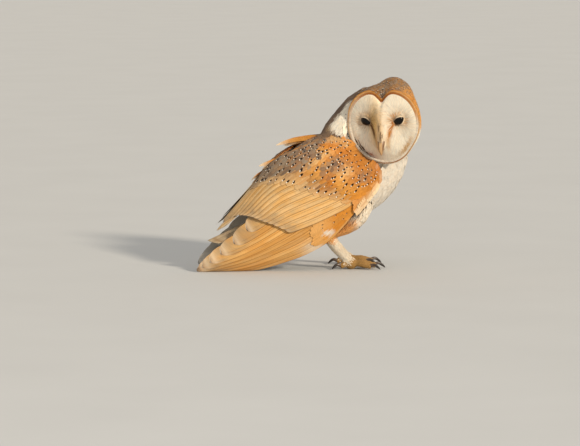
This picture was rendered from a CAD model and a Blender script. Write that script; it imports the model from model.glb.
"""Looks for a barn owl that stands with its head turned back over its right shoulder.

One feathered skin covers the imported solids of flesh, and every feather is a solid vane laid on it.
Shapes are worked out in millimetres in the bird's own frame, in which the solids were drawn: the bird
heads along +X with its left side at +Y. to_row() takes them to the row's frame in metres.
"""

import math

import bmesh
import bpy
import numpy as np
from mathutils import Euler, Matrix, Vector
from mathutils.bvhtree import BVHTree


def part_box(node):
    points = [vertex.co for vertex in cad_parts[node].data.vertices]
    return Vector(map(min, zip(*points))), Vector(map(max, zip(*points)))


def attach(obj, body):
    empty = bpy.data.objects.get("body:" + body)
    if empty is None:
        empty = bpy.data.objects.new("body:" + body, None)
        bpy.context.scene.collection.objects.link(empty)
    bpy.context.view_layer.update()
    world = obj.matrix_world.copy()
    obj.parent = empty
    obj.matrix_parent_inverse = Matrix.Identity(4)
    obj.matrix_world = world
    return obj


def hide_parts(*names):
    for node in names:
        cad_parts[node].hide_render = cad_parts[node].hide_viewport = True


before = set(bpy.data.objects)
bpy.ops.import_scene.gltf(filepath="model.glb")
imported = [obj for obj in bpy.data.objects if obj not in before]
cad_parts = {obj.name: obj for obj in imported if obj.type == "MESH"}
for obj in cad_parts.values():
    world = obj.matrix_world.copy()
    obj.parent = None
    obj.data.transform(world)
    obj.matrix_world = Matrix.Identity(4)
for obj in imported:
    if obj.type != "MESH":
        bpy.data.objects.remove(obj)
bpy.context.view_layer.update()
rng = np.random.default_rng(7)

# ---------------- the solids' own sizes, in millimetres

RIGHT, LEFT = -1, 1
SIDES = {"right": RIGHT, "left": LEFT}
HEAD_CENTRE = np.array([45.5, -27.0, 189.0])
HEAD_TURN, HEAD_NOD, HEAD_TILT = -122, 9, 2
SKULL_BACK, SKULL_SIDE, SKULL_UP, SKULL_DOWN = 44, 42, 57, 45
CROWN_FORMS = [
    # rise, angle, how wide, how far back, how long: a tuft, a slope, a dip and the far side
    (7.5, 0.16, 0.33, 0.38, 0.14),
    (4.5, -0.75, 0.35, 0.24, 0.17),
    (-3.2, -0.24, 0.16, 0.36, 0.16),
    (4.5, 0.52, 0.24, 0.38, 0.16),
]
RIM_FORWARD = 22
DISC_RADIUS, LOBE_RISE, NOTCH_DEPTH, CHEEK_TUCK = 46.5, 5.5, 12, 3.2
DISC_DOME, RIDGE_RISE, BOWL_DEPTH = 14, 5, 6
EYE_RADIUS, EYE_SPREAD, EYE_HEIGHT, EYE_FORWARD = 8.6, 21.5, 11, 22.4
WRIST_X, WRIST_Z = 30, 119
WING_DROOP = {RIGHT: 27, LEFT: 26.3}
WING_REACH = {RIGHT: 1, LEFT: 0.965}
SHOULDER_TUCK = 0.36
TAIL_BASE, TAIL_TIP = np.array([-84.0, 0, 84]), np.array([-190.0, 0, 38])
TAIL_HALF_WIDTH = 16
FOOT_OUT, FOOT_X = 26, {RIGHT: -5, LEFT: 5}
TOES = {
    # angle from ahead in degrees, length, radius, claw's length
    "inner": (-24, 25, 4.4, 15),
    "middle": (2, 33, 4.6, 16),
    "outer": (34, 28, 4.3, 15),
    "hind": (172, 15, 4.3, 13),
}

# ---------------- looks

THROAT_RISE = 6  # how much fuller the throat's feathers are than its flesh
FLOOR_GAP = 0.3  # how near to the floor a flight feather may come
BODY_DEPTH = 3.6  # how far the skin lies inside the coat's outside on the body, and elsewhere:
SKIN_DEPTH = {"facial_disc": 1.4, "head": 2.4, "tarsus": 2.2, "foot": 0}
PATCH = 0.003  # width of a feather's patch on the bake map
CAMERA_AZIMUTH, CAMERA_ELEVATION = -14, 6
CAMERA_AIM = np.array([-84.6, -16.8, 61.4])
CAMERA_DISTANCE, CAMERA_LENS = 4.19, 200


def srgb(*values):
    """A colour given as 0-255 screen values, as the linear numbers that shaders use."""
    v = np.array(values, float) / 255
    return np.where(v <= 0.04045, v / 12.92, ((v + 0.055) / 1.055) ** 2.4)


GOLD = srgb(214, 152, 74)
ORANGE = srgb(202, 126, 44)
PALE_GOLD = srgb(236, 198, 142)
CREAM = srgb(238, 222, 196)
WHITE = srgb(224, 216, 204)
GREY = srgb(150, 134, 116)
DARK_GREY = srgb(98, 86, 80)
GREY_BROWN = srgb(142, 112, 84)
BUFF = srgb(232, 200, 152)
BARK = srgb(150, 108, 64)
RUST = srgb(170, 102, 32)
DARK_RUST = srgb(142, 78, 26)
SPOT_DARK = srgb(38, 26, 22)
SPOT_LIGHT = srgb(250, 244, 232)
TOE_SKIN = srgb(172, 132, 74)
UNDERWING = srgb(206, 200, 190)
TAIL_GREY = srgb(148, 130, 104)
BRIGHT_ORANGE = srgb(210, 134, 42)
GREY_BEIGE = srgb(206, 178, 134)
MOTTLE = srgb(172, 146, 112)
FACE_WHITE = srgb(252, 243, 226)
FACE_BEIGE = srgb(230, 206, 166)
FACE_TAN = srgb(202, 156, 94)
FACE_WARM = srgb(250, 206, 126)
TEAR_ORANGE = srgb(194, 120, 34)
TEAR_BROWN = srgb(118, 84, 50)
RIM_BROWN = srgb(84, 54, 32)
PINK = srgb(206, 132, 104)

# ---------------- number helpers


def through(*stations):
    """The smooth curve through (x, value) stations, level past its ends, for arrays of x."""
    xs, ys = np.array(stations, float).T
    before = np.maximum(np.arange(len(xs)) - 1, 0)
    after = np.minimum(np.arange(len(xs)) + 1, len(xs) - 1)
    slopes = (ys[after] - ys[before]) / (xs[after] - xs[before])

    def curve(x):
        x = np.clip(x, xs[0], xs[-1])
        i = np.clip(np.searchsorted(xs, x, side="right") - 1, 0, len(xs) - 2)
        w = xs[i + 1] - xs[i]
        t = (x - xs[i]) / w
        ends = ys[i] * (1 + 2 * t) * (1 - t) ** 2 + ys[i + 1] * t * t * (3 - 2 * t)
        return ends + w * slopes[i] * t * (1 - t) ** 2 - w * slopes[i + 1] * t * t * (1 - t)

    return curve


def smooth(x, low, high):
    t = np.clip((x - low) / (high - low), 0, 1)
    return t * t * (3 - 2 * t)


def band(x, low, full, fall, end):
    """1 from full to fall, and 0 below low and beyond end."""
    return smooth(x, low, full) * (1 - smooth(x, fall, end))


def bell(x, centre, width):
    return np.exp(-(((x - centre) / width) ** 2))


def mix(a, b, share):
    return a + (b - a) * np.asarray(share)[..., None]


def unit(v):
    return v / np.maximum(np.linalg.norm(v, axis=-1, keepdims=True), 1e-9)


def layered(colour, *layers):
    """The colour with others laid over it in turn, each by its own share."""
    for over, share in layers:
        colour = mix(colour, over, share)
    return colour


def turn_in(count):
    """A whole turn's angles in so many steps."""
    return np.linspace(0, 2 * np.pi, count, endpoint=False)


def signed(angle):
    """The same angle between minus and plus half a turn."""
    return np.arctan2(np.sin(angle), np.cos(angle))


def noise(points, size, seed=0):
    """Smooth random values from 0 to 1 that vary over about size millimetres."""
    p = np.asarray(points) / size + 100
    cell = np.floor(p).astype(np.int64)
    f = smooth(p - cell, 0, 1)
    total = np.zeros(p.shape[:-1])
    for corner in range(8):
        step = np.array([corner & 1, corner >> 1 & 1, corner >> 2 & 1])
        h = (cell + step) @ np.array([73856093, 19349663, 83492791]) + seed * 2654435761
        h = (h ^ (h >> 13)) * 1274126177 & 0x7FFFFFFF
        weight = np.prod(np.where(step, f, 1 - f), axis=-1)
        total += weight * ((h ^ (h >> 15)) % 10007) / 10006
    return total


# ---------------- the head's shape


def turning(*degrees):
    return np.array(Euler([math.radians(d) for d in degrees], "XYZ").to_matrix())


HEAD_TURNING = turning(HEAD_TILT, HEAD_NOD, HEAD_TURN)


def from_head(points):
    """Points of the head's frame (+X the gaze, +Y the owl's left, +Z up) in the bird's own frame."""
    return points @ HEAD_TURNING.T + HEAD_CENTRE


def to_head(points):
    return (points - HEAD_CENTRE) @ HEAD_TURNING


def disc_radius(angle):
    degrees = np.degrees(signed(angle))
    away = np.abs(degrees)
    radius = DISC_RADIUS + LOBE_RISE * bell(away, 38, 38) - NOTCH_DEPTH * bell(away, 0, 11)
    return radius - CHEEK_TUCK * bell(degrees, 124, 26)


def polar_point(forward, radius, angle):
    """A point of the head's frame at an angle from straight up round the gaze."""
    parts = np.broadcast_arrays(forward, radius * np.sin(angle), radius * np.cos(angle))
    return np.stack(parts, -1)


def on_disc(y, z):
    """The angle from straight up of places on the disc, and the share of the way to its edge."""
    angle = np.arctan2(y, z)
    return angle, np.hypot(y, z) / disc_radius(angle)


def face_forward(q, angle):
    """How far forward the disc's surface is at a share q of the way to its edge."""
    radius = q * disc_radius(angle)
    y, z = radius * np.sin(angle), radius * np.cos(angle)
    ridge = RIDGE_RISE * bell(y, 0, 6.5) * smooth(z, -40, -18) * (1 - smooth(q, 0.8, 1))
    bowl = BOWL_DEPTH * bell(np.abs(y), 24, 13) * bell(z, 4, 24)
    return RIM_FORWARD + DISC_DOME * (1 - q * q) + ridge - bowl * (1 - q**6)


def face_height(y, z):
    angle, q = on_disc(y, z)
    return face_forward(np.minimum(q, 1.05), angle)


def skull_point(w, angle):
    """The skull's outside, at a share w of the way from the disc's edge to the nape."""
    up = np.where(np.cos(angle) > 0, SKULL_UP, SKULL_DOWN)
    reach = 1 / np.hypot(np.sin(angle) / SKULL_SIDE, np.cos(angle) / up)
    polar = np.radians(64 + 116 * w)
    for rise, middle, wide, at, long in CROWN_FORMS:
        reach = reach + rise * bell(w, at, long) * bell(signed(angle - middle), 0, wide)
    rim = 1.05 - 0.05 * bell(np.degrees(angle) % 360, 125, 40)
    near = np.exp(-w / 0.13)
    radius = near * rim * disc_radius(angle) + (1 - near) * np.sin(polar) * reach
    return polar_point(np.cos(polar) * SKULL_BACK + 2 * (1 - w), radius, angle)


def face_point(q, angle, behind=0.0):
    return polar_point(face_forward(q, angle) - behind, q * disc_radius(angle), angle)


# ---------------- the wings' shape

SHEET_MIDDLE = through(
    (-10, 10), (60, 8), (110, 4.5), (160, 2.5), (200, 3), (235, 6.5), (265, 8)
)
SHEET_HEIGHT = through(
    (-10, 66), (40, 76), (90, 77), (130, 70), (160, 60), (200, 46), (235, 32), (268, 15)
)
SHEET_SIDE = through((-10, 38), (12, 47), (60, 52), (110, 51), (160, 45), (210, 34), (265, 18))
LEADING_EDGE = through(
    (0, -8), (20, -14), (43, -21), (86, -33), (114, -38), (177, -44), (217, -50), (250, -56)
)
COVERT_LOW = -11
COVERT_FRONT = through((-11, 3), (0, -3), (8, -2), (19, 3), (34, 6), (45, 12), (58, 26))
COVERT_END = through((0, 54), (0.28, 80), (0.55, 110), (0.9, 142), (1, 148))
SECONDARY_LOW = through((20, -13), (60, -10), (141, -2.5), (200, 4))
SECONDARY_END = through((0, 141), (0.15, 152), (0.35, 166), (0.6, 178), (0.85, 192), (1, 210))
PRIMARY_END = through(
    (0, 236), (0.1, 254), (0.25, 264), (0.4, 264), (0.55, 257), (0.7, 238), (0.85, 208), (1, 174)
)
WING_TOP = through((0, 58), (60, 63), (100, 74), (130, 82), (220, 84))


def side_width(s, phi):
    """How far out the wing's sheet reaches, less where the shoulder is tucked in."""
    return SHEET_SIDE(s) * (1 - SHOULDER_TUCK * smooth(phi, 0, 45) * (1 - smooth(s, 0, 70)))


def wing_point(side, s, phi, h):
    """A point of a wing's sheet: s along it, phi degrees round the flank from level, h out from it."""
    height, width = SHEET_HEIGHT(s), side_width(s, phi)
    angle = np.radians(phi)
    out_wide, out_high = np.cos(angle) / width, np.sin(angle) / height
    size = np.hypot(out_wide, out_high)
    across = SHEET_MIDDLE(s) + height * np.sin(angle) + h * out_high / size
    wide = width * np.cos(angle) + h * out_wide / size
    droop = math.radians(WING_DROOP[side])
    back = s * WING_REACH[side]
    x = WRIST_X - back * math.cos(droop) - across * math.sin(droop)
    z = WRIST_Z - back * math.sin(droop) + across * math.cos(droop)
    return np.stack(np.broadcast_arrays(x, side * wide, z), -1)


def wing_place(points):
    """The side, s and phi of the wing's sheet nearest to points of the bird's own frame."""
    x, y, z = np.moveaxis(points, -1, 0)
    side = np.where(y < 0, RIGHT, LEFT)
    droop = np.radians(np.where(y < 0, WING_DROOP[RIGHT], WING_DROOP[LEFT]))
    dx, dz = x - WRIST_X, z - WRIST_Z
    s = -(dx * np.cos(droop) + dz * np.sin(droop))
    across = dz * np.cos(droop) - dx * np.sin(droop)
    s = s / np.where(y < 0, WING_REACH[RIGHT], WING_REACH[LEFT])
    phi = np.zeros_like(s)
    for _ in range(3):
        high = (across - SHEET_MIDDLE(s)) / SHEET_HEIGHT(s)
        phi = np.degrees(np.arctan2(high, np.abs(y) / side_width(s, phi)))
    return side, s, phi


def own_eye(side):
    return from_head(np.array([EYE_FORWARD, side * EYE_SPREAD, EYE_HEIGHT], float))


def centre_of(node):
    low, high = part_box(node)
    return np.array((low + high) / 2)


OFFSET = (centre_of("eye_right") + centre_of("eye_left")) / 2 - (own_eye(RIGHT) + own_eye(LEFT)) / 2000


def to_row(points):
    return points * 0.001 + OFFSET


# ---------------- colours by place


def head_colour(local):
    """The crown, nape and cheeks without their grey tips, from points of the head's frame."""
    x, y, z = np.moveaxis(local, -1, 0)
    return layered(
        GOLD,
        (ORANGE, 0.5 * smooth(noise(local, 12, 5), 0.3, 0.8)),
        (BARK, 0.6 * smooth(z - 0.9 * y, 16, 48)),
        (BARK, 0.6 * smooth(z - 0.45 * y - x, 16, 44)),
        (mix(WHITE, FACE_WHITE, smooth(cheek_level(x, y) - z, 0, 14)), on_cheek(local)),
    )


def cheek_level(x, y):
    """How high the white of the cheeks reaches, higher on the right side."""
    return np.where(y < 0, 9 + 20 * smooth(x, 4, 18) - 0.12 * np.maximum(-x, 0), -8)


def on_cheek(local):
    x, y, z = np.moveaxis(local, -1, 0)
    uneven = 5 * (noise(local, 7, 3) - 0.5)
    return smooth(cheek_level(x, y) - z + uneven, -4, 5) * (1 - 0.5 * smooth(-x, 26, 40))


def head_grey(local):
    """How far the tips of the crown's feathers are grey: most on its middle and towards the nape."""
    x, y, z = np.moveaxis(local, -1, 0)
    crown = smooth(z - 0.9 * y, 2, 34) * (0.4 + 0.55 * noise(local, 5, 3))
    nape = 0.8 * smooth(-x - 0.3 * y, 4, 26)
    return np.clip(np.maximum(crown, nape) * (1 - on_cheek(local)), 0, 1)


def face_colour(local):
    """The facial disc, from points of the head's frame."""
    y, z = local[..., 1], local[..., 2]
    angle, q = on_disc(y, z)
    degrees = np.degrees(angle)
    colour = layered(
        FACE_WHITE,
        (FACE_BEIGE, 0.05 + 0.2 * noise(local, 6, 9)),
        (mix(FACE_WARM, FACE_TAN, 0.15), 0.95 * bell(y, -9, 9) * bell(z, 6, 30)),
    )
    for side in SIDES.values():
        away = np.hypot((y - side * EYE_SPREAD) / 1.25, z - EYE_HEIGHT)
        tear = TEAR_BROWN if side < 0 else TEAR_ORANGE
        inwards = smooth(EYE_SPREAD - side * y, -3, 6)
        inner_y = side * (EYE_SPREAD - 7.8 - 0.24 * (EYE_HEIGHT - 4 - z))
        colour = layered(
            colour,
            (FACE_TAN, 0.6 * bell(away, 7, 4.5)),
            (tear, bell(away, 7.0, 2.2) * (0.5 + 0.3 * inwards)),
            (mix(tear, DARK_RUST, 0.5 * smooth(z, -2, 8)), bell(y, inner_y, 2.5) * band(z, -20, -4, 8, 12)),
            (FACE_TAN, 0.7 * bell(y, side * 7.5, 2.6) * bell(z, -17, 10)),
        )
    return layered(
        colour,
        (FACE_TAN, 0.55 * bell(y, 0, 4.5) * band(z, -26, -8, 16, 34)),
        (RIM_BROWN, 0.75 * bell(y, 0.5, 1.3) * bell(z, -10, 7)),
        (mix(FACE_TAN, BARK, 0.3), 0.95 * bell(degrees, 132, 24) * bell(q, 0.86, 0.06)),
        (PINK, 0.6 * bell(degrees, -150, 12) * bell(q, 0.84, 0.07)),
    )


def rim_colour(angle, outer):
    """The ruff round the disc: outer runs from 0 at its inside to 1 at its outside."""
    degrees = np.degrees(signed(angle))
    away = np.abs(degrees)
    top = 1 - smooth(away, 60, 88)
    beside = bell(away, 92, 34) * (1 - top)
    inside = layered(
        mix(WHITE, CREAM, 0.4),
        (mix(GOLD, ORANGE, 0.7), 0.9 * top * (1 - 0.7 * bell(degrees, -66, 26))),
        (DARK_RUST, 0.95 * bell(degrees, 2, 40)),
    )
    line = layered(
        mix(ORANGE, BARK, 0.35),
        (PALE_GOLD, np.maximum(0.7 * top * (1 - bell(degrees, 0, 26)), 0.6 * beside)),
        (CREAM, 0.9 * bell(degrees, -128, 30)),
        (BARK, 0.6 * bell(away, 165, 40)),
    )
    outside = layered(
        mix(CREAM, WHITE, 0.5),
        (mix(GOLD, ORANGE, 0.4), 1 - smooth(away, 70, 105)),
        (WHITE, 0.9 * smooth(-degrees, 55, 75)),
        (RIM_BROWN, 0.9 * np.minimum(1.6 * bell(degrees, -130, 32), 1)),
    )
    return layered(inside, (line, smooth(outer, 0.36, 0.44)), (outside, smooth(outer, 0.62, 0.72)))


GREY_LIMIT = through((20, 74), (40, 56), (55, 46), (90, 43), (135, 55), (170, 66))


def covert_share(s, phi):
    """How far back a place lies in the coverts, from 0 at their front to 1 at their longest tips."""
    return (s - COVERT_FRONT(phi)) / 90


def body_grey(points):
    """How far the tips of the back's and wings' feathers are grey."""
    _, s, phi = wing_place(points)
    patch, fine = noise(points, 13, 1), noise(points, 5, 2)
    middle = smooth(phi + 12 * (fine - 0.5) + 8 * (patch - 0.5) - GREY_LIMIT(s), -5, 7)
    drift = bell(s, 52, 22) * bell(phi, 28, 8) + 0.65 * bell(s, 18, 16) * bell(phi, 4, 7)
    tips = smooth(covert_share(s, phi), 0.68, 1.0) * (1 - smooth(phi, 22, 36))
    return np.minimum(np.maximum(np.maximum(middle, 0.75 * drift), 0.6 * tips), 1)


def body_colour(points):
    """Everything but the head, without grey tips, from points of the bird's own frame."""
    _, s, phi = wing_place(points)
    back = covert_share(s, phi)
    patch = noise(points, 15, 1)
    gold = mix(GOLD, ORANGE, smooth(patch, 0.2, 0.8))
    pale = bell(s, 38, 11) * bell(phi, 17, 6) + bell(phi, 41, 3.5) * bell(s, 64, 24)
    upper = layered(
        gold,
        (PALE_GOLD, 0.75 * np.minimum(pale, 1)),
        (BRIGHT_ORANGE, 0.7 * bell(phi, -8, 7) * smooth(s, 4, 20)),
        (BUFF, 0.35 * smooth(back, 0.85, 1.05)),
        (RUST, 0.5 * bell(s, 2, 26) * (1 - smooth(phi, 18, 40))),
        (GREY_BEIGE, 0.7 * bell(phi, 54, 9) * (1 - smooth(back, 0.08, 0.3))),
    )
    # Below the wing: white breast and belly, gold flanks.
    white = 0.97 * mix(WHITE, CREAM, 0.2 * patch)
    flank = band(-phi, 8, 14, 44, 60) * smooth(s, 46, 66) * smooth(points[..., 2], 52, 66)
    front = smooth(COVERT_FRONT(phi) - 1 - s, -3, 4) * (1 - smooth(phi, 44, 60) * smooth(s, -14, -4))
    under = mix(white, mix(gold, PALE_GOLD, 0.25), flank)
    return mix(upper, under, np.maximum(smooth(-phi, 9.5, 13), front))


def neck_colour(points):
    """White in front and beside the face, grey and gold behind."""
    x, y, z = np.moveaxis(points, -1, 0)
    uneven = 5 * (noise(points, 5, 4) - 0.5)
    hidden = np.maximum(smooth(-x, 8, 30), smooth(y, 2, 14))
    beside_face = smooth(-y + uneven, 6, 10) * smooth(z + 0.5 * x + uneven, 160, 170)
    beside_face *= smooth(x + 0.4 * (z - 190) + uneven, -34, -26) * (1 - smooth(z, 214, 220))
    front = smooth(x + 0.3 * (z - 180) + uneven, 2, 14) * (1 - smooth(z + uneven, 186, 202))
    return layered(
        GREY_BROWN,
        (DARK_GREY, 0.6 * smooth(z, 150, 190)),
        (BUFF, 0.4 * smooth(noise(points, 11, 14), 0.35, 0.75) * hidden),
        (BUFF, 0.6 * smooth(-y, 8, 20) * (1 - smooth(z, 150, 166))),
        (mix(WHITE, FACE_WHITE, smooth(z, 166, 180)), np.maximum(beside_face, front)),
    )


# ---------------- meshes


def attribute(mesh, name, kind, domain, values):
    layer = mesh.attributes.new(name, kind, domain)
    key = {"FLOAT_COLOR": "color", "FLOAT_VECTOR": "vector"}.get(kind, "value")
    layer.data.foreach_set(key, np.ascontiguousarray(values, dtype=np.float32).ravel())


def tint(mesh, colours):
    """Gives each point of the mesh its colour."""
    attribute(mesh, "tint", "FLOAT_COLOR", "POINT", np.insert(colours, 3, 1, axis=-1))


def bake_map(mesh, uv):
    mesh.uv_layers.new(name="OFBake").data.foreach_set("uv", uv.astype(np.float32).ravel())


def read(items, key, width=1, kind=np.float32):
    """One property of a mesh's points, edges or corners, in rows of width numbers."""
    values = np.empty(len(items) * width, kind)
    items.foreach_get(key, values)
    return values.reshape(-1, width) if width > 1 else values


def linked(name, data):
    obj = bpy.data.objects.new(name, data)
    bpy.context.scene.collection.objects.link(obj)
    return obj


def mesh_from(name, points, corners, sizes):
    """A mesh object from points in the row's frame, faces' corner numbers, and each face's size."""
    mesh = bpy.data.meshes.new(name)
    mesh.vertices.add(len(points))
    mesh.vertices.foreach_set("co", points.astype(np.float32).ravel())
    mesh.loops.add(len(corners))
    mesh.loops.foreach_set("vertex_index", corners.astype(np.int32))
    mesh.polygons.add(len(sizes))
    mesh.polygons.foreach_set("loop_start", (np.cumsum(sizes) - sizes).astype(np.int32))
    mesh.update(calc_edges=True)
    mesh.polygons.foreach_set("use_smooth", np.ones(len(sizes), dtype=bool))
    return linked(name, mesh)


def dress(obj, material, slot, *nodes):
    """Gives a piece its material and slot, and the solids that it replaces."""
    obj.data.materials.clear()
    obj.data.materials.append(material)
    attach(obj, "root")
    if nodes:
        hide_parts(*nodes)


def vane_corners(top, under):
    """A vane grid's values at its faces' corners: the top's squares, the chords beneath, and both ends."""
    squares = np.stack([top[:, :-1, :-1], top[:, :-1, 1:], top[:, 1:, 1:], top[:, 1:, :-1]], 3)
    chords = np.stack([under[:, :-1, -1], under[:, :-1, 0], under[:, 1:, 0], under[:, 1:, -1]], 2)
    parts = (squares, chords, under[:, 0, ::-1], under[:, -1])
    return np.concatenate([part.reshape(len(top), -1, *top.shape[3:]) for part in parts], 1)


class Plumage:
    """Solid vanes gathered into one mesh. Each is rings of points across it, closed beneath by a chord."""

    def __init__(self):
        self.rows = {}
        self.count = 0

    def add(self, points, tints, reach, half, roots):
        """points and tints are (feather, ring, across, 3), reach and half are (feather, ring) in mm."""
        n, rings, across, _ = points.shape
        grid = self.count + np.arange(n * rings * across).reshape(n, rings, across)
        self.count += grid.size
        # The bake map: the vane's top fills most of its patch, its underside a strip beside it.
        share = np.linspace(0, 1, across)
        along = (reach / np.maximum(reach[:, -1:], 1e-6))[..., None] - 0.5
        shares = (0.62 * share - 0.5, 0.42 - 0.22 * share)
        maps = [np.stack(np.broadcast_arrays(u, along), -1) for u in shares]
        seeds = rng.random(n)[:, None, None]
        vanes = np.broadcast_arrays(half[..., None] * np.linspace(-1, 1, across), reach[..., None], seeds)
        side = (share == 0) + 2 * (share == 1)
        quads = (rings - 1) * across
        new = {
            "points": points.reshape(-1, 3),
            "tints": np.broadcast_to(tints, points.shape).reshape(-1, 3),
            "vanes": np.stack(vanes, -1).reshape(-1, 3),
            "sides": np.broadcast_to(side, grid.shape).ravel(),
            "corners": vane_corners(grid, grid).ravel(),
            "sizes": np.tile([4] * quads + [across] * 2, n),
            "under": np.tile(np.arange(quads + 2) >= quads - rings + 1, n),
            "maps": (vane_corners(*maps) * PATCH + roots[:, None]).reshape(-1, 2),
        }
        for key, values in new.items():
            self.rows.setdefault(key, []).append(values)

    def build(self, name, material, slot, *nodes):
        rows = {key: np.concatenate(parts) for key, parts in self.rows.items()}
        obj = mesh_from(name, to_row(rows["points"]), rows["corners"], rows["sizes"])
        mesh = obj.data
        tint(mesh, rows["tints"])
        attribute(mesh, "vane", "FLOAT_VECTOR", "POINT", rows["vanes"])
        attribute(mesh, "under", "FLOAT", "FACE", rows["under"])
        bake_map(mesh, np.clip(rows["maps"], 0, 1))
        start, end = rows["sides"][read(mesh.edges, "vertices", 2, np.int32)].T
        layer = mesh.attributes.new("sharp_edge", "BOOLEAN", "EDGE")
        layer.data.foreach_set("value", (start > 0) & (start == end))
        dress(obj, material, slot, *nodes)


# ---------------- materials


class Nodes:
    """Short calls for wiring a material's nodes."""

    def __init__(self, name):
        self.material = bpy.data.materials.new(name)
        self.material.use_nodes = True
        self.tree = self.material.node_tree
        self.shader = self.tree.nodes["Principled BSDF"]

    def add(self, kind, values=(), **settings):
        """A node with its first inputs plugged."""
        node = self.tree.nodes.new(kind)
        for key, value in settings.items():
            setattr(node, key, value)
        for socket, value in zip(node.inputs, values):
            self.plug(socket, value)
        return node

    def plug(self, socket, value):
        if isinstance(value, bpy.types.NodeSocket):
            self.tree.links.new(value, socket)
        else:
            socket.default_value = value

    def math(self, operation, *values):
        return self.add("ShaderNodeMath", values, operation=operation).outputs[0]

    def times(self, first, *others):
        for other in others:
            first = self.math("MULTIPLY", first, other)
        return first

    def attribute(self, name, output="Fac"):
        return self.add("ShaderNodeAttribute", attribute_name=name).outputs[output]

    def place(self):
        return self.add("ShaderNodeTexCoord").outputs["Object"]

    def noise(self, scale, detail, vector=None):
        node = self.add("ShaderNodeTexNoise")
        node.inputs["Scale"].default_value = scale
        node.inputs["Detail"].default_value = detail
        self.plug(node.inputs["Vector"], vector or self.place())
        return node.outputs["Fac"]

    def remap(self, *values):
        """A value from one range, low and high, to another."""
        return self.add("ShaderNodeMapRange", values).outputs[0]

    def tinted(self, value, colour=None):
        """The colour, or else the mesh's own tint, made value times as bright."""
        node = self.add("ShaderNodeVectorMath", operation="SCALE")
        self.plug(node.inputs[0], colour or self.attribute("tint", "Color"))
        self.plug(node.inputs["Scale"], value)
        return node.outputs[0]

    def bump(self, height, strength, distance):
        node = self.add("ShaderNodeBump")
        for key, value in (("Strength", strength), ("Distance", distance), ("Height", height)):
            self.plug(node.inputs[key], value)
        self.plug(self.shader.inputs["Normal"], node.outputs[0])

    def finish(self, **sockets):
        for name, value in sockets.items():
            self.plug(self.shader.inputs[name.replace("_", " ")], value)
        return self.material


def feather_material(name, barb_mm, slant, contrast, roughness, sheen, below=None):
    """Barbs that slant from the shaft towards the tip, over the colour that each vane carries.
    Undersides take the colour below, if one is given."""
    m = Nodes(name)
    across, along, seed = m.add("ShaderNodeSeparateXYZ", [m.attribute("vane", "Vector")]).outputs
    off = m.math("ABSOLUTE", across)
    course = m.math("SUBTRACT", along, m.times(off, slant))
    wave = m.math("SINE", m.times(course, 2 * math.pi / barb_mm))
    stretched = [m.times(course, 1.6), m.times(off, 0.35), m.times(seed, 40.0)]
    clumps = m.noise(1.0, 4.0, m.add("ShaderNodeCombineXYZ", stretched).outputs[0])
    fine = 0.35 * contrast
    shade = m.times(
        m.remap(clumps, 0.25, 0.75, 1 - contrast, 1 + contrast),
        m.remap(wave, -1, 1, 1 - fine, 1 + fine),
        m.remap(m.noise(2600, 3.0), 0.3, 0.7, 0.95, 1.05),
        m.remap(seed, 0, 1, 0.93, 1.07),
    )
    height = m.math("ADD", m.times(wave, 0.5), m.times(clumps, 1.2))
    m.bump(m.math("ADD", height, m.remap(off, 0.1, 0.4, 0.4, 0)), 0.55, 0.00025)
    colour = None
    if below is not None:
        node = m.add("ShaderNodeMix", data_type="RGBA")
        m.plug(node.inputs["Factor"], m.attribute("under"))
        m.plug(node.inputs[6], m.attribute("tint", "Color"))
        m.plug(node.inputs[7], (*below, 1))
        colour = node.outputs[2]
    return m.finish(
        Base_Color=m.tinted(shade, colour), Roughness=roughness, Sheen_Weight=sheen, Sheen_Roughness=0.5,
        Specular_IOR_Level=0.16,
    )


def skin_material():
    """Down beneath the feathers, and the scaly skin of the toes where the mesh says scaly."""
    m = Nodes("Owl_Skin")
    scaly = m.attribute("scaly")
    cells = m.add("ShaderNodeTexVoronoi", feature="DISTANCE_TO_EDGE")
    cells.inputs["Scale"].default_value = 620
    m.plug(cells.inputs["Vector"], m.place())
    crack = m.remap(cells.outputs["Distance"], 0, 0.12, 0, 1)
    down = m.noise(1500, 4.0)
    dark = m.math("SUBTRACT", 1, m.times(scaly, m.remap(crack, 0, 1, 0.38, 0)))
    m.bump(m.math("ADD", m.times(crack, scaly), m.times(down, 0.5)), 0.6, 0.0004)
    shade = m.times(m.remap(down, 0.3, 0.7, 0.86, 1.08), dark)
    return m.finish(Base_Color=m.tinted(shade), Roughness=0.72, Specular_IOR_Level=0.35)


def horn_material(name, rough, grain):
    """Claw or bill: growth lines along it over the tint, with a slight gloss."""
    m = Nodes(name)
    mapping = m.add("ShaderNodeMapping")
    mapping.inputs["Scale"].default_value = (1, 1, 0.25)
    m.plug(mapping.inputs["Vector"], m.place())
    streaks = m.noise(grain, 3.0, mapping.outputs[0])
    fine = m.noise(grain * 4, 2.0)
    shade = m.times(m.remap(streaks, 0.3, 0.7, 0.82, 1.12), m.remap(fine, 0.3, 0.7, 0.95, 1.05))
    m.bump(m.math("ADD", streaks, m.times(fine, 0.4)), 0.35, 0.0003)
    return m.finish(Base_Color=m.tinted(shade), Roughness=rough, Coat_Weight=0.25, Coat_Roughness=0.25)


def eye_material():
    m = Nodes("Owl_Eye")
    ramp = m.add("ShaderNodeValToRGB", [m.noise(500, 3.0)])
    ramp.color_ramp.elements[0].color = (0.002, 0.0015, 0.001, 1)
    ramp.color_ramp.elements[1].color = (0.008, 0.005, 0.003, 1)
    return m.finish(Base_Color=ramp.outputs[0], Roughness=0.05, Specular_IOR_Level=0.22)


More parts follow.
